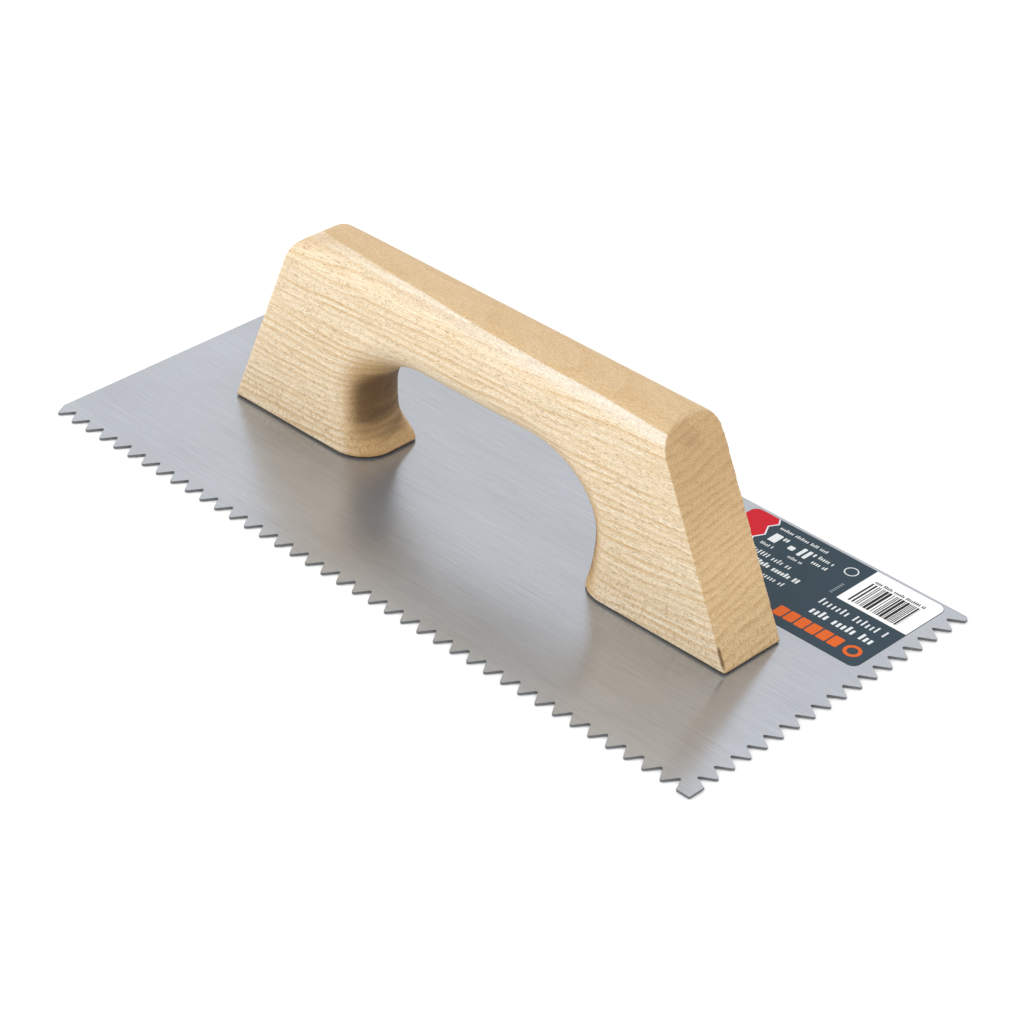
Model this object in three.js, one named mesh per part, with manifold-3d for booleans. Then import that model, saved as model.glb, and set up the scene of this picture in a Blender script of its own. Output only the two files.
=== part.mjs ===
// Notched trowel: a thin steel blade with V notches along one long and one short edge,
// a one-piece wooden bridge handle, four countersunk screws and a stuck-on label.
// Millimetres, +Z up, +X along the blade, the notched long edge faces -Y.

import * as THREE from 'three';
import * as BufferGeometryUtils from 'three/examples/jsm/utils/BufferGeometryUtils.js';
import Module from 'manifold-3d';

const wasm = await Module();
wasm.setup();

// ---------- driving dimensions ----------

const BLADE = { length: 279.4, width: 127, thick: 0.8, backCorner: 1.2 };

// V notches: pitch along the edge, depth from tip to root, and the width and height of the
// small rounding at each tip and root.
const NOTCH = { pitch: 7, depth: 4.5, roundWidth: 0.9, roundHeight: 0.16 };
const LONG_EDGE = { firstTip: -137.2, tips: 39, blockStart: 134.7 };
const SHORT_EDGE = { firstTip: -51.4, tips: 17, pitch: 7.06, blockEnd: -57.2 };

const HANDLE = {
  thick: 25.4, height: 70.4, centreY: -0.8, topRound: 9,
  leftEnd: { base: 106.8, slope: 21.5, corner: 10 },
  rightEnd: { base: 109, slope: 24.4, corner: 3 },
};

// Finger opening: measured at the middle of the handle's thickness.
const OPENING = {
  centreX: -0.1, halfWidth: 48.9, top: 41.2, cornerLong: 25.6, cornerHigh: 19.4,
  toeRadius: 61.6, frontRound: 12, backRound: 12, toeBackRound: 2.5, toeHeight: 13,
};

const FIT_GAP = 0.3;        // clearance where a piece passes through or sits on another
const SEAT_GAP = 0.02;      // the handle and the label sit this far above the steel

const SCREW = {
  length: 32, headRadius: 4, shankRadius: 1.9, coreRadius: 1.35,
  headDepth: 2.3, threadPitch: 1.9, threadedLength: 22, sunk: 0.1,
};
// Pressed dimple that sinks each screw head level with the underside: 45 degree cone.
const DIMPLE = { rim: 4.7, wall: 1.13, lip: 0.4 };
const SCREW_X = [-88, -66, 66, 88];    // from the middle of the finger opening

const LABEL = { x0: 55.4, x1: 132.2, y0: 17.7, y1: 62.3, corner: 2.8, thick: 0.1 };

const COLOURS = {
  blade: { color: 0xaeb0b2, roughness: 0.35, metalness: 1 },
  handle: { color: 0xe6c48c, roughness: 0.6, metalness: 0 },
  screw: { color: 0x9a9a96, roughness: 0.35, metalness: 1 },
  label: { color: 0x40505c, roughness: 0.45, metalness: 0 },
};

// ---------- helpers ----------

function toManifold(geometry) {
  const bare = geometry.clone();
  bare.deleteAttribute('normal');
  bare.deleteAttribute('uv');
  const welded = BufferGeometryUtils.mergeVertices(bare, 1e-4);
  return new wasm.Manifold(new wasm.Mesh({
    numProp: 3,
    vertProperties: new Float32Array(welded.attributes.position.array),
    triVerts: new Uint32Array(welded.index.array),
  }));
}

function fromManifold(solid) {
  const mesh = solid.getMesh();
  const geometry = new THREE.BufferGeometry();
  geometry.setAttribute('position', new THREE.BufferAttribute(new Float32Array(mesh.vertProperties), 3));
  geometry.setIndex(new THREE.BufferAttribute(new Uint32Array(mesh.triVerts), 1));
  geometry.computeVertexNormals();
  return geometry;
}

function named(name, geometry, look) {
  const mesh = new THREE.Mesh(geometry, new THREE.MeshStandardMaterial(look));
  mesh.name = name;
  return mesh;
}

// Closed solid through rows of points: each row is a loop, the first and last rows are capped.
function loft(rows, capShape) {
  const count = rows[0].length;
  const positions = rows.flat().flatMap((p) => [p.x, p.y, p.z]);
  const index = [];
  for (let r = 0; r + 1 < rows.length; r += 1) {
    for (let i = 0; i < count; i += 1) {
      const j = (i + 1) % count;
      const a = r * count + i;
      const b = r * count + j;
      index.push(a, b, b + count, a, b + count, a + count);
    }
  }
  const cap = (row, flip) => {
    const base = row * count;
    const faces = THREE.ShapeUtils.triangulateShape(rows[row].map(capShape), []);
    for (const [a, b, c] of faces) {
      index.push(...(flip ? [base + a, base + c, base + b] : [base + a, base + b, base + c]));
    }
  };
  cap(0, true);
  cap(rows.length - 1, false);
  const geometry = new THREE.BufferGeometry();
  geometry.setAttribute('position', new THREE.BufferAttribute(new Float32Array(positions), 3));
  geometry.setIndex(index);
  return geometry;
}

function arcPoints(cx, cy, radius, from, to, steps) {
  const points = [];
  for (let i = 0; i <= steps; i += 1) {
    const a = THREE.MathUtils.degToRad(from + ((to - from) * i) / steps);
    points.push(new THREE.Vector2(cx + radius * Math.cos(a), cy + radius * Math.sin(a)));
  }
  return points;
}

function turned(profile, segments, x, y) {
  const points = profile.map(([r, z]) => new THREE.Vector2(r, z));
  const geometry = new THREE.LatheGeometry(points, segments);
  geometry.rotateX(Math.PI / 2);
  geometry.translate(x, y, 0);
  return geometry;
}

// ---------- blade ----------

// One notched edge seen as distance along the edge and depth into the blade:
// two short bevels at every tip and root round it off as the punch leaves it.
function notchedEdge(firstTip, tips, pitch) {
  const { depth, roundWidth, roundHeight } = NOTCH;
  const points = [];
  const roundOff = (middle, level, inward) => {
    points.push([middle - roundWidth / 2, level + inward * roundHeight]);
    points.push([middle - roundWidth / 5, level], [middle + roundWidth / 5, level]);
    points.push([middle + roundWidth / 2, level + inward * roundHeight]);
  };
  for (let i = 0; i < tips; i += 1) {
    roundOff(firstTip + i * pitch, 0, 1);
    roundOff(firstTip + (i + 0.5) * pitch, depth, -1);
  }
  return points;
}

function bladeOutline() {
  const halfLength = BLADE.length / 2;
  const halfWidth = BLADE.width / 2;
  const outline = new THREE.Shape();
  outline.moveTo(-halfLength, -halfWidth + 4.3);
  for (const [along, depth] of notchedEdge(LONG_EDGE.firstTip, LONG_EDGE.tips, NOTCH.pitch)) {
    outline.lineTo(along, -halfWidth + depth);
  }
  outline.lineTo(LONG_EDGE.blockStart, -halfWidth);
  outline.lineTo(halfLength, -halfWidth);
  outline.lineTo(halfLength, SHORT_EDGE.blockEnd);
  const shortStart = SHORT_EDGE.firstTip - SHORT_EDGE.pitch;
  const shortEdge = notchedEdge(shortStart, SHORT_EDGE.tips + 1, SHORT_EDGE.pitch).slice(4, -4);
  for (const [along, depth] of shortEdge) outline.lineTo(halfLength - depth, along);
  outline.lineTo(halfLength, halfWidth - BLADE.backCorner);
  outline.lineTo(halfLength - BLADE.backCorner, halfWidth);
  outline.lineTo(-halfLength + BLADE.backCorner, halfWidth);
  outline.lineTo(-halfLength, halfWidth - BLADE.backCorner);
  return outline;
}

// Solid cone with its wide end down, used for the pressed dimples and the sinks around them.
function cone(x, y, bottomRadius, bottomZ, topRadius, topZ) {
  const profile = [[0, bottomZ], [bottomRadius, bottomZ], [topRadius, topZ], [0, topZ]];
  return toManifold(turned(profile, 32, x, y));
}

function screwPlaces() {
  return SCREW_X.map((x) => ({ x: x + OPENING.centreX, y: HANDLE.centreY }));
}

// Radius of the hole that a screw passes through, and height of the dimple's cone.
const throat = SCREW.shankRadius + FIT_GAP;
const rise = DIMPLE.rim - throat;

function bladeGeometry() {
  const sheet = new THREE.ExtrudeGeometry(bladeOutline(), { depth: BLADE.thick, bevelEnabled: false });
  let blade = toManifold(sheet);
  for (const { x, y } of screwPlaces()) {
    const outside = DIMPLE.rim + DIMPLE.wall;
    const crown = rise + DIMPLE.lip;
    const dimple = cone(x, y, outside - BLADE.thick / 2, BLADE.thick / 2, outside - crown, crown);
    const seat = cone(x, y, DIMPLE.rim + 0.5, -0.5, throat, rise);
    const hole = cone(x, y, throat, -1, throat, crown + 1);
    blade = blade.add(dimple).subtract(seat).subtract(hole);
  }
  return fromManifold(blade);
}

// ---------- handle ----------

const HANDLE_BASE = BLADE.thick + SEAT_GAP;
const HANDLE_TOP = BLADE.thick + HANDLE.height;

// Long bar with its two top edges rounded.
function handleBar() {
  const half = HANDLE.thick / 2;
  const round = HANDLE.topRound;
  const section = [
    new THREE.Vector2(-half, HANDLE_BASE),
    new THREE.Vector2(half, HANDLE_BASE),
    ...arcPoints(half - round, HANDLE_TOP - round, round, 0, 90, 16),
    ...arcPoints(-half + round, HANDLE_TOP - round, round, 90, 180, 16),
  ];
  const row = (x) => section.map((p) => new THREE.Vector3(x, HANDLE.centreY + p.x, p.y));
  return toManifold(loft([row(-150), row(150)], (p) => new THREE.Vector2(p.y, p.z)));
}

// Right-hand end of the handle's side view: a sloping end that turns into the top.
function endProfile({ base, slope, corner }) {
  const lean = Math.tan(THREE.MathUtils.degToRad(slope));
  const centreZ = HANDLE_TOP - corner;
  const centreX = base - lean * (centreZ - HANDLE_BASE) - corner * Math.hypot(1, lean);
  return [
    new THREE.Vector2(base + lean, HANDLE_BASE - 1),
    ...arcPoints(centreX, centreZ, corner, slope, 90, 12),
  ];
}

// The side view of the blank as a slab, wider than the bar is thick.
function handleSideView() {
  const left = endProfile(HANDLE.leftEnd).map((p) => new THREE.Vector2(-p.x, p.y)).reverse();
  const outline = new THREE.Shape([...endProfile(HANDLE.rightEnd), ...left]);
  const slab = new THREE.ExtrudeGeometry(outline, { depth: 40, bevelEnabled: false });
  slab.rotateX(Math.PI / 2);
  slab.translate(0, 20, 0);
  return toManifold(slab);
}

// Right half of the finger opening at mid thickness, from below the base up to the crown,
// with the direction that its rounded edges spread in. The sides lean in towards the base,
// and an elliptical corner turns each of them into the flat underside of the grip.
function openingSide() {
  const { halfWidth, top, cornerLong, cornerHigh, toeRadius } = OPENING;
  const waist = top - cornerHigh;
  const drop = THREE.MathUtils.radToDeg(Math.asin((waist + 3) / toeRadius));
  const toeCentre = new THREE.Vector2(halfWidth - toeRadius, waist);
  const toe = arcPoints(toeCentre.x, toeCentre.y, toeRadius, -drop, 0, 10)
    .map((p) => ({ p, n: p.clone().sub(toeCentre).normalize() }));
  const crown = arcPoints(0, 0, 1, 0, 90, 22).slice(1).map((unit) => ({
    p: new THREE.Vector2(halfWidth - cornerLong + cornerLong * unit.x, waist + cornerHigh * unit.y),
    n: new THREE.Vector2(unit.x / cornerLong, unit.y / cornerHigh).normalize(),
  }));
  return [...toe, ...crown];
}

function openingLoop() {
  const right = openingSide();
  const left = right.map(({ p, n }) => ({
    p: new THREE.Vector2(-p.x, p.y),
    n: new THREE.Vector2(-n.x, n.y),
  })).reverse();
  return [...right, ...left];
}

// Rounding at the back shrinks towards the base, so the back of each toe stays square.
function backRoundAt(z) {
  const share = THREE.MathUtils.smoothstep(z, 2, OPENING.toeHeight);
  return THREE.MathUtils.lerp(OPENING.toeBackRound, OPENING.backRound, share);
}

function openingCutter() {
  const half = HANDLE.thick / 2;
  const steps = 12;
  const loop = openingLoop();
  const row = (side, angle, beyond) => loop.map(({ p, n }) => {
    const round = side > 0 ? backRoundAt(p.y) : OPENING.frontRound;
    const spread = round * (1 - Math.cos(angle));
    const across = half - round * (1 - Math.sin(angle)) + beyond;
    return new THREE.Vector3(
      OPENING.centreX + p.x + n.x * spread,
      HANDLE.centreY + side * across,
      p.y + n.y * spread,
    );
  });
  const quarter = Math.PI / 2;
  const rows = [row(1, quarter, 1)];
  for (let i = steps; i >= 0; i -= 1) rows.push(row(1, (quarter * i) / steps, 0));
  for (let i = 0; i <= steps; i += 1) rows.push(row(-1, (quarter * i) / steps, 0));
  rows.push(row(-1, quarter, 1));
  return toManifold(loft(rows, (p) => new THREE.Vector2(p.x, p.z)));
}

function handleGeometry() {
  let handle = handleBar().intersect(handleSideView()).subtract(openingCutter());
  for (const { x, y } of screwPlaces()) {
    const outside = DIMPLE.rim + DIMPLE.wall + FIT_GAP * Math.SQRT2;
    const crown = rise + DIMPLE.lip + FIT_GAP;
    const sink = cone(x, y, outside, 0, outside - crown, crown);
    const pilot = cone(x, y, throat, 0, throat, SCREW.length + 1);
    handle = handle.subtract(sink).subtract(pilot);
  }
  return fromManifold(handle);
}

// ---------- screws ----------

// Countersunk wood screw, head down, with a helical thread and a cross recess.
function screwGeometry(x, y) {
  const sides = 14;
  const { headRadius, headDepth, shankRadius, coreRadius, length, threadPitch } = SCREW;
  const threadStart = length - SCREW.threadedLength;
  const ring = (z, radiusAt) => Array.from({ length: sides }, (_, i) => {
    const turn = i / sides;
    const radius = radiusAt(turn);
    const a = turn * Math.PI * 2;
    return new THREE.Vector3(x + radius * Math.cos(a), y + radius * Math.sin(a), z + SCREW.sunk);
  });
  const rows = [
    ring(0, () => headRadius - 0.1),
    ring(0.2, () => headRadius),
    ring(headDepth, () => shankRadius),
    ring(threadStart, () => shankRadius),
  ];
  const rowHeight = threadPitch / 4;
  for (let z = threadStart + rowHeight; z < length - 0.5; z += rowHeight) {
    const taper = Math.min(1, (length - z) / 5);
    rows.push(ring(z, (turn) => {
      const phase = (((z / threadPitch - turn) % 1) + 1) % 1;
      const crest = Math.max(0, 1 - Math.abs(phase - 0.5) * 4);
      return taper * (coreRadius + (shankRadius - coreRadius) * crest);
    }));
  }
  rows.push(ring(length, () => 0.15));
  let screw = toManifold(loft(rows, (p) => new THREE.Vector2(p.x, p.y)));
  for (const [wide, deep] of [[4.2, 0.9], [0.9, 4.2]]) {
    const arm = new THREE.BoxGeometry(wide, deep, 3);
    arm.translate(x, y, SCREW.sunk);
    screw = screw.subtract(toManifold(arm));
  }
  return fromManifold(screw);
}

// ---------- label ----------

function labelGeometry() {
  const { x0, x1, y0, y1, corner, thick } = LABEL;
  const outline = new THREE.Shape([
    ...arcPoints(x1 - corner, y0 + corner, corner, -90, 0, 6),
    ...arcPoints(x1 - corner, y1 - corner, corner, 0, 90, 6),
    ...arcPoints(x0 + corner, y1 - corner, corner, 90, 180, 6),
    ...arcPoints(x0 + corner, y0 + corner, corner, 180, 270, 6),
  ]);
  const geometry = new THREE.ExtrudeGeometry(outline, { depth: thick, bevelEnabled: false });
  geometry.translate(0, 0, BLADE.thick + SEAT_GAP);
  return geometry;
}

// ---------- assembly ----------

const trowel = new THREE.Group();
trowel.name = 'notched_trowel';
trowel.add(named('blade', bladeGeometry(), COLOURS.blade));
trowel.add(named('handle', handleGeometry(), COLOURS.handle));
const SCREW_NAMES = ['screw_left_outer', 'screw_left_inner', 'screw_right_inner', 'screw_right_outer'];
screwPlaces().forEach(({ x, y }, i) => {
  trowel.add(named(SCREW_NAMES[i], screwGeometry(x, y), COLOURS.screw));
});
trowel.add(named('label', labelGeometry(), COLOURS.label));

export default trowel;
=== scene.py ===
"""Looks of the notched trowel: smooth handle, printed label, wood and brushed steel."""

import math
import random

import bmesh
import bpy
from mathutils import Matrix, Vector


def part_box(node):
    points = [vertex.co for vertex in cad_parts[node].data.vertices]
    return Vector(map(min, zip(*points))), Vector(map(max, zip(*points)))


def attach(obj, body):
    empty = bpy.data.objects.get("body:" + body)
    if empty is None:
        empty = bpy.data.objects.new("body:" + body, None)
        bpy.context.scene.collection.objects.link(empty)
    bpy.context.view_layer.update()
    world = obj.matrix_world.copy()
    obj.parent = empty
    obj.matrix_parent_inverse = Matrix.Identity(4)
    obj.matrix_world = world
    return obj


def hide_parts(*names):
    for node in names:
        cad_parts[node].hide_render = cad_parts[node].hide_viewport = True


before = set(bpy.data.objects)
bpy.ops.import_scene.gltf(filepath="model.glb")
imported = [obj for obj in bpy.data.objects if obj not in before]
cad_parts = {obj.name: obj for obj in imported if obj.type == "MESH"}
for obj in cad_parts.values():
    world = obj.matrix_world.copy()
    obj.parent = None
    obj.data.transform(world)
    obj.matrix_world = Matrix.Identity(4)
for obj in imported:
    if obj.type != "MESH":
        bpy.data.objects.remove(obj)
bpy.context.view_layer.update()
scene = bpy.context.scene

# ---------- camera, light and floor ----------

CAMERA = {
    "azimuth": 43.23, "elevation": 33.31, "roll": 2.215,
    "distance": 1.04161, "lens": 116.37, "aim": Vector((0.00417, 0.00406, 0.00015)),
}
WORLD_STRENGTH = 1.25

FLOOR_REACH = 6.0
FLOOR_TOP = -0.0004

# Softboxes: name, direction from the object as azimuth and elevation, distance, size, power.
SOFTBOXES = [
    ("key_light", -28, 27, 1.6, 0.9, 7.5),
    ("top_light", 200, 80, 1.8, 0.8, 1.0),
]


def direction(azimuth, elevation):
    """Unit vector from the object towards a viewer; azimuth 0 is in front, on -Y."""
    a, e = math.radians(azimuth), math.radians(elevation)
    return Vector((math.sin(a) * math.cos(e), -math.cos(a) * math.cos(e), math.sin(e)))


def add_camera():
    data = bpy.data.cameras.new("camera")
    data.lens = CAMERA["lens"]
    data.sensor_width = 36.0
    data.clip_start = 0.05
    camera = bpy.data.objects.new("camera", data)
    scene.collection.objects.link(camera)
    back = direction(CAMERA["azimuth"], CAMERA["elevation"])
    camera.location = CAMERA["aim"] + back * CAMERA["distance"]
    camera.rotation_mode = "QUATERNION"
    turn = (-back).to_track_quat("-Z", "Y").to_matrix()
    turn = turn @ Matrix.Rotation(math.radians(CAMERA["roll"]), 3, "Z")
    camera.rotation_quaternion = turn.to_quaternion()
    scene.camera = camera


def add_softbox(name, azimuth, elevation, distance, size, power):
    data = bpy.data.lights.new(name, "AREA")
    data.shape = "SQUARE"
    data.size = size
    data.energy = power
    light = bpy.data.objects.new(name, data)
    scene.collection.objects.link(light)
    towards = direction(azimuth, elevation)
    light.location = towards * distance
    light.rotation_mode = "QUATERNION"
    light.rotation_quaternion = (-towards).to_track_quat("-Z", "Y")


def add_world():
    world = bpy.data.worlds.new("studio")
    world.use_nodes = True
    background = world.node_tree.nodes["Background"]
    background.inputs["Color"].default_value = (1.0, 1.0, 1.0, 1.0)
    background.inputs["Strength"].default_value = WORLD_STRENGTH
    scene.world = world
    scene.view_settings.view_transform = "Standard"


def add_floor():
    mesh = bpy.data.meshes.new("floor")
    corners = [(-1, -1), (1, -1), (1, 1), (-1, 1)]
    mesh.from_pydata([(FLOOR_REACH * x, FLOOR_REACH * y, FLOOR_TOP) for x, y in corners],
                     [], [(0, 1, 2, 3)])
    mesh.materials.append(floor_material())
    floor = bpy.data.objects.new("floor", mesh)
    scene.collection.objects.link(floor)


# ---------- shader helpers ----------

class Shader:
    """A material under construction: each call adds one node and returns its output."""

    def __init__(self, name):
        self.material = bpy.data.materials.new(name)
        self.material.use_nodes = True
        self.nodes = self.material.node_tree.nodes
        self.links = self.material.node_tree.links
        self.surface = self.nodes["Principled BSDF"]

    def feed(self, socket, value):
        if isinstance(value, bpy.types.NodeSocket):
            self.links.new(value, socket)
        else:
            socket.default_value = value

    def point(self):
        """Position on the object in millimetres."""
        coordinates = self.nodes.new("ShaderNodeTexCoord").outputs["Object"]
        return self.vector("SCALE", coordinates, scale=1000.0)

    def normal(self):
        return self.nodes.new("ShaderNodeTexCoord").outputs["Normal"]

    def vector(self, operation, a, b=None, scale=None):
        node = self.nodes.new("ShaderNodeVectorMath")
        node.operation = operation
        self.feed(node.inputs[0], a)
        if b is not None:
            self.feed(node.inputs[1], b)
        if scale is not None:
            self.feed(node.inputs["Scale"], scale)
        single = operation in ("DOT_PRODUCT", "LENGTH", "DISTANCE")
        return node.outputs["Value" if single else "Vector"]

    def constant(self, x, y, z):
        """A fixed vector as a linked node, which a tangent socket needs."""
        node = self.nodes.new("ShaderNodeCombineXYZ")
        for socket, value in zip(node.inputs, (x, y, z)):
            socket.default_value = value
        return node.outputs["Vector"]

    def math(self, operation, a, b=0.0):
        node = self.nodes.new("ShaderNodeMath")
        node.operation = operation
        for socket, value in zip(node.inputs, (a, b)):
            self.feed(socket, value)
        return node.outputs["Value"]

    def add(self, first, *rest):
        for value in rest:
            first = self.math("ADD", first, value)
        return first

    def times(self, first, *rest):
        for value in rest:
            first = self.math("MULTIPLY", first, value)
        return first

    def varied(self, *parts):
        """A multiplier around 1 from pairs of a 0-1 noise and its full swing."""
        swings = [self.times(self.math("SUBTRACT", noise, 0.5), swing) for noise, swing in parts]
        return self.add(*swings, 1.0)

    def split(self, vector):
        node = self.nodes.new("ShaderNodeSeparateXYZ")
        self.feed(node.inputs[0], vector)
        return node.outputs

    def noise(self, vector, scale, detail=2.0, roughness=0.5):
        """Smooth noise; scale is a number of features a millimetre along X, Y and Z."""
        node = self.nodes.new("ShaderNodeTexNoise")
        node.inputs["Scale"].default_value = 1.0
        node.inputs["Detail"].default_value = detail
        node.inputs["Roughness"].default_value = roughness
        self.feed(node.inputs["Vector"], self.vector("MULTIPLY", vector, scale))
        return node.outputs["Fac"]

    def remap(self, value, low, high, to_low=0.0, to_high=1.0, smooth=False):
        node = self.nodes.new("ShaderNodeMapRange")
        node.interpolation_type = "SMOOTHSTEP" if smooth else "LINEAR"
        self.feed(node.inputs["Value"], value)
        for name, number in zip(("From Min", "From Max", "To Min", "To Max"),
                                (low, high, to_low, to_high)):
            self.feed(node.inputs[name], number)
        return node.outputs["Result"]

    def mix(self, factor, a, b):
        node = self.nodes.new("ShaderNodeMix")
        node.data_type = "RGBA"
        self.feed(node.inputs["Factor"], factor)
        self.feed(node.inputs["A"], a)
        self.feed(node.inputs["B"], b)
        return node.outputs["Result"]

    def streak(self, vector, centre, along, half_length, width):
        """Mask of a short thin mark that runs along a unit vector through a centre."""
        offset = self.vector("SUBTRACT", vector, centre)
        run = self.vector("DOT_PRODUCT", offset, along)
        across = self.vector("LENGTH", self.vector("CROSS_PRODUCT", offset, along))
        ends = self.remap(self.math("ABSOLUTE", run), half_length, half_length * 0.5, smooth=True)
        return self.times(ends, self.remap(across, width, width * 0.4, smooth=True))

    def tint(self, base, mask, strength, colour):
        """Lay a colour over the base where the mask is, at the given strength."""
        return self.mix(self.times(mask, strength), base, colour)

    def bump(self, height, distance, strength):
        node = self.nodes.new("ShaderNodeBump")
        node.inputs["Strength"].default_value = strength
        node.inputs["Distance"].default_value = distance
        self.feed(node.inputs["Height"], height)
        return node.outputs["Normal"]

    def finish(self, **sockets):
        for name, value in sockets.items():
            self.feed(self.surface.inputs[name.replace("_", " ")], value)
        return self.material


def rgb(red, green, blue):
    """Colour of 0-255 display values as linear RGBA."""
    def linear(value):
        value /= 255.0
        return value / 12.92 if value <= 0.04045 else ((value + 0.055) / 1.055) ** 2.4
    return (linear(red), linear(green), linear(blue), 1.0)


# ---------- materials ----------

# Growth rings, in millimetres.
RING_PITCH = 2.7
FINE_RING_PITCH = 0.92

# How far the ink's brightness swings with its mottle.
INK_MOTTLE = 0.06


def growth_rings(s, p, x, sway, ripple, fade):
    """Dark edges of the yearly rings, and finer lines between them."""
    bend = s.times(x, x, -0.00015)
    level = s.vector("DOT_PRODUCT", p, (-0.06, -0.12, 1.0))
    height = s.add(level, bend, s.remap(sway, 0.0, 1.0, -5.0, 5.0),
                   s.remap(ripple, 0.0, 1.0, -0.7, 0.7))
    ring = s.math("FRACT", s.math("DIVIDE", height, RING_PITCH))
    late = s.times(s.remap(ring, 0.25, 0.88, smooth=True),
                   s.remap(ring, 0.92, 1.0, 1.0, 0.0, smooth=True),
                   s.remap(fade, 0.35, 0.65, 0.3, 1.0))
    minor = s.math("FRACT", s.math("DIVIDE", height, FINE_RING_PITCH))
    return late, s.remap(minor, 0.4, 0.9, smooth=True)


def crown_zones(s, p, x, sway, sides):
    """The tan crown of the blank, a pale band just below it, and one tan stripe in the band."""
    crown = s.vector("DOT_PRODUCT", p, (0.036, 0.5, 1.0))
    crown = s.add(crown, s.remap(sway, 0.0, 1.0, -1.5, 1.5))
    tan = s.times(s.remap(crown, 66.2, 66.8, smooth=True), sides)
    pale = s.times(s.remap(crown, 60.0, 64.5, smooth=True),
                   s.remap(crown, 66.8, 66.2, smooth=True),
                   sides, s.remap(x, -60.0, 40.0, 0.35, 1.0))
    stripe = s.times(s.remap(crown, 61.8, 63.6, smooth=True),
                     s.remap(crown, 64.2, 63.7, smooth=True),
                     s.remap(x, 50.0, -10.0))
    return tan, pale, stripe


def opening_zones(s, x, z, facing, ends, ripple):
    """Inside the finger opening: tan where the surface turns to end grain, and a painted shade on the
    inner faces of both feet, darkest at about 22 mm height.
    """
    inside = s.remap(s.math("ABSOLUTE", x), 62.0, 50.0, smooth=True)
    turned = s.times(inside, s.remap(facing, 0.08, 0.45, smooth=True))
    deep = s.math("ABSOLUTE", s.math("SUBTRACT", z, 22.0))
    deep = s.add(deep, s.remap(ripple, 0.3, 0.7, -5.0, 5.0))
    return turned, s.times(ends, inside, s.remap(deep, 20.0, 2.0, smooth=True))


def wear_dirt_and_contact_shadow(s, p, z, ends, fade):
    """Hand smudge on the right shoulder, worn end, nicks, and a painted contact shadow along the foot
    of the handle where it meets the blade.
    """
    shoulder = s.remap(s.vector("DISTANCE", p, (88.0, -3.0, 69.0)), 12.0, 3.0, smooth=True)
    smudge = s.times(shoulder, s.remap(fade, 0.35, 0.6))
    worn = s.times(ends, s.remap(z, 22.0, 60.0, smooth=True))
    nicks = s.add(s.streak(p, (106.8, -13.4, 6.2), (-0.41, 0.0, 0.91), 4.5, 1.2),
                  s.streak(p, (92.5, -6.0, 40.5), (-0.2, 0.9, 0.3), 2.6, 0.8))
    return smudge, worn, nicks, s.remap(z, 1.9, 1.4, smooth=True)


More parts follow.
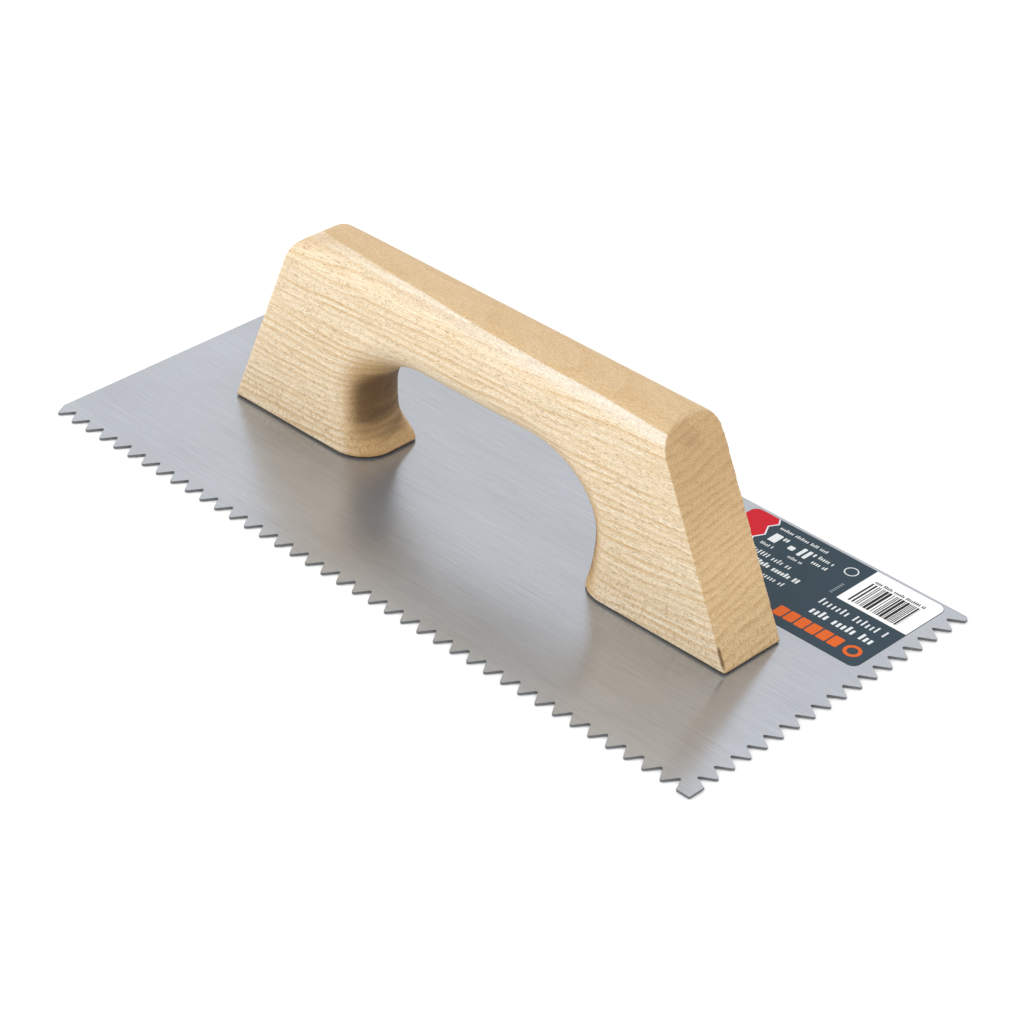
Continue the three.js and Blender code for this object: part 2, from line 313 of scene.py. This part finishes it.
def wood_material():
    """Pale wood sawn flat: growth rings lie almost level, pores run along X."""
    s = Shader("pale_wood")
    p = s.point()
    x, _, z = s.split(p)
    facing = s.math("ABSOLUTE", s.split(s.normal())[0])
    ends = s.remap(facing, 0.35, 0.8, smooth=True)
    sides = s.math("SUBTRACT", 1.0, ends)

    sway = s.noise(p, (0.012, 0.02, 0.05), detail=2.0)
    ripple = s.noise(p, (0.05, 0.04, 0.2), detail=1.0)
    fade = s.noise(p, (0.02, 0.12, 0.25), detail=2.0)
    late, minor = growth_rings(s, p, x, sway, ripple, fade)
    tan, pale, stripe = crown_zones(s, p, x, sway, sides)
    turned, painted_opening_shade = opening_zones(s, x, z, facing, ends, ripple)
    smudge, worn, nicks, painted_contact_shadow = wear_dirt_and_contact_shadow(s, p, z, ends, fade)

    # Fibres, sanding fuzz, pores, and short upright ray flecks low on the feet.
    fibre = s.noise(p, (0.05, 1.3, 1.3), detail=4.0, roughness=0.7)
    fuzz = s.noise(p, (1.3, 2.4, 2.4), detail=3.0, roughness=0.8)
    pores = s.remap(s.noise(p, (0.5, 2.1, 2.1), detail=1.0), 0.62, 0.7, smooth=True)
    flecks = s.noise(p, (1.5, 1.5, 0.5), detail=1.0)
    flecks = s.times(s.remap(flecks, 0.6, 0.68, smooth=True), s.remap(z, 24.0, 6.0, smooth=True))
    smooth_zone = s.math("MAXIMUM", tan, pale)
    speckle = s.times(s.remap(ends, 0.0, 1.0, 0.42, 0.5), s.remap(smooth_zone, 0.0, 1.0, 1.0, 0.3))

    colour = s.mix(s.remap(fibre, 0.3, 0.7), rgb(252, 238, 213), rgb(233, 209, 169))
    colour = s.tint(colour, ends, 0.75, rgb(226, 186, 128))
    colour = s.tint(colour, turned, 0.7, rgb(214, 172, 114))
    colour = s.tint(colour, minor, 0.28, rgb(220, 187, 139))
    colour = s.tint(colour, late, s.remap(ends, 0.0, 1.0, 0.68, 0.42),
                    s.mix(ends, rgb(211, 173, 121), rgb(178, 136, 82)))
    colour = s.tint(colour, stripe, 0.5, rgb(216, 180, 130))
    colour = s.tint(colour, pale, 0.6, rgb(245, 236, 222))
    colour = s.tint(colour, tan, 0.8, rgb(213, 179, 131))
    colour = s.tint(colour, worn, 0.4, rgb(176, 138, 88))
    # Painted shade inside the finger opening, on the inner faces of both feet.
    colour = s.tint(colour, painted_opening_shade, 0.86, rgb(86, 60, 33))
    colour = s.tint(colour, pores, speckle, rgb(166, 124, 74))
    colour = s.tint(colour, flecks, 0.4, rgb(170, 128, 80))
    colour = s.tint(colour, smudge, 0.8, rgb(150, 116, 74))
    colour = s.tint(colour, nicks, 0.8, rgb(92, 64, 36))
    # Painted contact shadow along the foot of the handle, just above the blade.
    colour = s.tint(colour, painted_contact_shadow, 0.85, rgb(58, 44, 32))
    colour = s.vector("SCALE", colour, scale=s.remap(fuzz, 0.3, 0.7, 0.56, 0.94))

    raised = s.add(s.times(fibre, 0.6), s.times(fuzz, 0.5))
    return s.finish(
        Base_Color=colour,
        Roughness=s.remap(fibre, 0.3, 0.7, 0.5, 0.66),
        Normal=s.bump(s.math("SUBTRACT", raised, s.times(pores, 0.6)), 0.00012, 0.7),
        Specular_IOR_Level=0.3,
    )


def steel_material():
    """Thin sheet brushed along X, with dark rough flanks where the notches are punched."""
    s = Shader("brushed_steel_sheet")
    p = s.point()
    fine = s.noise(p, (0.06, 2.2, 2.2), detail=3.0, roughness=0.75)
    coarse = s.noise(p, (0.01, 0.6, 0.6), detail=3.0)
    cloud = s.noise(p, (0.018, 0.03, 0.03), detail=3.0)
    fleck = s.noise(p, (1.2, 1.2, 1.2), detail=1.0)

    shade = s.varied((fine, 0.36), (coarse, 0.08), (cloud, 0.26))
    face = s.vector("SCALE", rgb(168, 172, 178)[:3], scale=shade)
    face = s.mix(s.remap(fleck, 0.76, 0.8), face, rgb(120, 121, 122))

    up = s.math("ABSOLUTE", s.split(s.normal())[2])
    flank = s.remap(up, 0.75, 0.35)
    return s.finish(
        Base_Color=s.mix(flank, face, rgb(104, 106, 108)),
        Metallic=0.75,
        Roughness=s.remap(cloud, 0.3, 0.7, 0.2, 0.25),
        Anisotropic=0.8,
        Tangent=s.constant(0.0, 1.0, 0.0),
        Normal=s.bump(fine, 0.000006, 0.2),
    )


def screw_material():
    """Zinc plate: slightly yellow grey with faint turning marks."""
    s = Shader("zinc_plate")
    p = s.point()
    cloud = s.noise(p, (0.6, 0.6, 0.6), detail=4.0)
    scratch = s.noise(p, (0.8, 6.0, 2.0), detail=2.0)
    colour = s.mix(cloud, rgb(176, 174, 164), rgb(206, 206, 202))
    return s.finish(
        Base_Color=colour,
        Metallic=1.0,
        Roughness=s.remap(scratch, 0.3, 0.7, 0.28, 0.45),
        Normal=s.bump(scratch, 0.00002, 0.3),
    )


def print_material(name, colour):
    """Ink on film: one colour, faintly mottled by the print screen."""
    s = Shader(name)
    p = s.point()
    screen = s.noise(p, (1.6, 1.6, 1.6), detail=3.0, roughness=0.7)
    cloud = s.noise(p, (0.05, 0.05, 0.05), detail=2.0)
    shade = s.add(s.remap(screen, 0.3, 0.7, 1.0 - INK_MOTTLE, 1.0 + INK_MOTTLE),
                  s.remap(cloud, 0.3, 0.7, -INK_MOTTLE / 2, INK_MOTTLE / 2))
    return s.finish(
        Base_Color=s.vector("SCALE", rgb(*colour)[:3], scale=shade),
        Roughness=s.remap(screen, 0.3, 0.7, 0.42, 0.5),
        Normal=s.bump(screen, 0.00001, 0.3),
        Specular_IOR_Level=0.12,
    )


def floor_material():
    s = Shader("pale_floor")
    return s.finish(Base_Color=(0.92, 0.92, 0.92, 1.0), Roughness=0.9)


# ---------- pieces ----------

FINE_VOXEL = 0.0007
EDGE_ROUNDS = 5
SHOULDER_ROUNDS = 50

# The rounder left shoulder along X, Z and Y, in millimetres: where it starts, and how far
# further on the rounding is at full strength.
SHOULDER_START = (-66, 56, -7)
SHOULDER_SPAN = (-12, 10, 12)


def new_piece(name, mesh, material):
    piece = bpy.data.objects.new(name, mesh)
    scene.collection.objects.link(piece)
    mesh.materials.clear()
    mesh.materials.append(material)
    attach(piece, "root")
    return piece


def baked_mesh(source):
    """Mesh of an object with its modifiers applied."""
    graph = bpy.context.evaluated_depsgraph_get()
    return bpy.data.meshes.new_from_object(source.evaluated_get(graph), depsgraph=graph)


def round_left_shoulder(mesh):
    """The left top corner is sanded rounder than the other edges, most of all at the back."""
    shoulder = bpy.data.objects.new("handle_shoulder", mesh)
    scene.collection.objects.link(shoulder)
    group = shoulder.vertex_groups.new(name="left_shoulder")
    for vertex in mesh.vertices:
        x, y, z = vertex.co * 1000
        reach = [(at - start) / span
                 for at, start, span in zip((x, z, y), SHOULDER_START, SHOULDER_SPAN)]
        weight = math.prod(min(1.0, max(0.0, part)) for part in reach)
        if weight > 0.0:
            group.add([vertex.index], weight, "REPLACE")
    ease = shoulder.modifiers.new("ease", "SMOOTH")
    ease.factor = 0.8
    ease.iterations = SHOULDER_ROUNDS
    ease.vertex_group = group.name
    rounded = baked_mesh(shoulder)
    bpy.data.objects.remove(shoulder)
    return rounded


def smooth_handle():
    """The handle as sanded: the solid remeshed finely, with its edges eased."""
    rough = bpy.data.objects.new("handle_rough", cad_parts["handle"].data.copy())
    scene.collection.objects.link(rough)
    remesh = rough.modifiers.new("remesh", "REMESH")
    remesh.mode = "VOXEL"
    remesh.voxel_size = FINE_VOXEL
    ease = rough.modifiers.new("ease", "SMOOTH")
    ease.factor = 0.5
    ease.iterations = EDGE_ROUNDS
    mesh = baked_mesh(rough)
    bpy.data.objects.remove(rough)
    mesh = round_left_shoulder(mesh)
    mesh.polygons.foreach_set("use_smooth", [True] * len(mesh.polygons))
    handle = new_piece("wooden_handle", mesh, wood_material())
    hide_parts("handle")


def dress_cad_nodes():
    looks = {"blade": steel_material(), "label": print_material("label_slate", (44, 61, 72))}
    screw = screw_material()
    for name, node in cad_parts.items():
        material = looks.get(name, screw)
        node.data.materials.clear()
        node.data.materials.append(material)


# ---------- label print, in millimetres from the label's low corner ----------

LABEL_LOW, LABEL_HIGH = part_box("label")
LABEL_WIDE = (LABEL_HIGH.x - LABEL_LOW.x) * 1000
LABEL_TALL = (LABEL_HIGH.y - LABEL_LOW.y) * 1000
INK_DEPTH = 0.03

# Gap from the print to the film's edge, and the radius it follows at the film's corners.
MARGIN = 0.1
CORNER = 2.8

# Rows of print: start, end, base line, height, and the share of each pitch that is inked.
TEXT_ROWS = [
    (13.4, 33.4, 40.3, 1.5, 0.5), (32.3, 38.4, 36.3, 1.7, 0.55), (32.3, 38.4, 32.8, 1.7, 0.55),
    (14.1, 19.4, 29.9, 1.4, 0.5), (25.2, 31.0, 29.9, 1.4, 0.5), (14.8, 31.0, 25.0, 2.2, 0.42),
    (13.4, 37.2, 20.8, 2.3, 0.66), (13.4, 35.4, 16.3, 2.1, 0.42), (13.4, 31.8, 12.2, 2.1, 0.66),
    (47.5, 74.3, 18.3, 3.2, 0.36), (48.7, 74.3, 12.3, 3.4, 0.55),
]

# Big blocks in the place of the size: start, base line and width, all up to one top line.
BIG_BLOCKS = [(14.4, 33.0, 3.0), (18.2, 36.0, 0.7), (19.3, 36.0, 0.7),
              (26.0, 33.0, 1.3), (28.2, 33.0, 1.3), (30.3, 36.0, 0.7)]
BIG_BLOCKS_TOP = 37.8


def ink_mesh(name, shapes):
    """Thin closed solid over each outline, lying on the label."""
    work = bmesh.new()
    floor = LABEL_HIGH.z + 0.00001
    for outline in shapes:
        corners = [Vector((LABEL_LOW.x + u / 1000, LABEL_LOW.y + v / 1000, floor)) for u, v in outline]
        face = work.faces.new([work.verts.new(c) for c in corners])
        lifted = bmesh.ops.extrude_face_region(work, geom=[face])["geom"]
        tops = [item for item in lifted if isinstance(item, bmesh.types.BMVert)]
        bmesh.ops.translate(work, verts=tops, vec=(0, 0, INK_DEPTH / 1000))
    bmesh.ops.recalc_face_normals(work, faces=work.faces)
    mesh = bpy.data.meshes.new(name)
    work.to_mesh(mesh)
    work.free()
    return mesh


def block(u0, v0, u1, v1, corner=0.0):
    """Outline of a rectangle, with its corners rounded."""
    if corner == 0.0:
        return [(u0, v0), (u1, v0), (u1, v1), (u0, v1)]
    outline = []
    centres = [(u1 - corner, v0 + corner, -90), (u1 - corner, v1 - corner, 0),
               (u0 + corner, v1 - corner, 90), (u0 + corner, v0 + corner, 180)]
    for u, v, start in centres:
        for step in range(6):
            a = math.radians(start + step * 18)
            outline.append((u + corner * math.cos(a), v + corner * math.sin(a)))
    return outline


def word_row(u0, u1, v, height, weight, seed):
    """A line of print as groups of short upright strokes, with no letters."""
    pick = random.Random(seed)
    pitch = height * 0.52
    strokes = []
    u = u0
    left_in_word = pick.randint(4, 7)
    while u + pitch < u1:
        tall = height * pick.choice((0.72, 0.72, 1.0))
        strokes.append(block(u, v, u + pitch * weight, v + tall))
        u += pitch
        left_in_word -= 1
        if left_in_word == 0:
            u += pitch * 0.9
            left_in_word = pick.randint(4, 8)
    return strokes


def bar_row(u0, u1, v0, v1, seed):
    """Upright bars of uneven width that stand for a printed code, and encode nothing."""
    pick = random.Random(seed)
    bars = []
    u = u0
    while u < u1:
        wide = pick.choice((0.3, 0.34, 0.66, 1.0))
        bars.append(block(u, v0, min(u + wide, u1), v1))
        u += wide + pick.choice((0.3, 0.4, 0.66))
    return bars


def ring(u, v, radius, stroke, parts=24):
    """A plain ring as a run of four-sided pieces."""
    pieces = []
    for k in range(parts):
        a, b = (math.tau * i / parts for i in (k, k + 0.96))
        inner, outer = radius - stroke, radius
        pieces.append([(u + r * math.cos(t), v + r * math.sin(t))
                       for r, t in ((inner, a), (outer, a), (outer, b), (inner, b))])
    return pieces


def film_corner(u, v, start):
    """A quarter turn about (u, v) that follows the film's rounded corner."""
    angles = [math.radians(start + 15 * k) for k in range(7)]
    return [(u + CORNER * math.cos(a), v + CORNER * math.sin(a)) for a in angles]


def torn_tab():
    """Tab in the film's left corner with a ragged right edge, and the pale rim of that edge."""
    falls = [(9.8, MARGIN), (11.4, 2.6), (9.7, 5.8), (11.9, 10.0), (10.1, 13.6), (11.2, 15.6)]
    ragged = [(u, LABEL_TALL - fall) for u, fall in falls]
    tab = [(MARGIN, ragged[-1][1]), *reversed(ragged),
           *film_corner(CORNER + MARGIN, LABEL_TALL - CORNER - MARGIN, 90)]
    rim = [[a, b, (b[0] + 0.55, b[1]), (a[0] + 0.55, a[1])] for a, b in zip(ragged[1:], ragged)]
    return tab, rim


def code_panel(left, low):
    """Panel in the film's right corner, the ground for the bars."""
    return [(left, low), (LABEL_WIDE - MARGIN, low),
            *film_corner(LABEL_WIDE - CORNER - MARGIN, LABEL_TALL - CORNER - MARGIN, 0),
            (left, LABEL_TALL - MARGIN)]


def pale_print():
    """Rows of strokes, and the big blocks with a dot between them."""
    shapes = []
    for seed, row in enumerate(TEXT_ROWS):
        shapes += word_row(*row, seed)
    shapes += [block(u, v, u + wide, BIG_BLOCKS_TOP, 0.25) for u, v, wide in BIG_BLOCKS]
    return [*shapes, block(21.9, 33.6, 24.1, 35.8, 0.4)]


def label_print():
    """Generic print: red tab, white panel with bars, orange mark and rows of strokes."""
    tab, rim = torn_tab()
    dashes = [block(46.1, 25.2 + 0.95 * k, 47.1, 25.8 + 0.95 * k) for k in range(7)]
    blocks = [block(41.0 + 4.3 * k, 3.8, 44.7 + 4.3 * k, 9.0, 0.5) for k in range(6)]
    inks = {
        "label_tab_red": ((190, 8, 32), [tab]),
        "label_panel_white": ((236, 236, 236), [code_panel(49.6, 24.4)]),
        "label_white_print": ((214, 218, 221), [*rim, *pale_print(), *ring(44.1, 38.4, 2.4, 0.4)]),
        "label_grey_print": ((120, 134, 144), dashes),
        "label_orange_mark": ((208, 92, 26), [*blocks, *ring(71.0, 6.2, 3.0, 1.2)]),
    }
    for name, (colour, shapes) in inks.items():
        new_piece(name, ink_mesh(name, shapes), print_material(name + "_ink", colour))
    bars = [*bar_row(52.7, 71.5, 26.0, 38.2, 5), *word_row(52.9, 72.4, 38.9, 1.3, 0.6, 6)]
    black = ink_mesh("label_bars", bars)
    black.transform(Matrix.Translation((0, 0, INK_DEPTH / 1000)))
    new_piece("label_bars", black, print_material("label_bars_ink", (30, 30, 32)))


add_camera()
add_world()
for softbox in SOFTBOXES:
    add_softbox(*softbox)
add_floor()

dress_cad_nodes()
smooth_handle()
label_print()
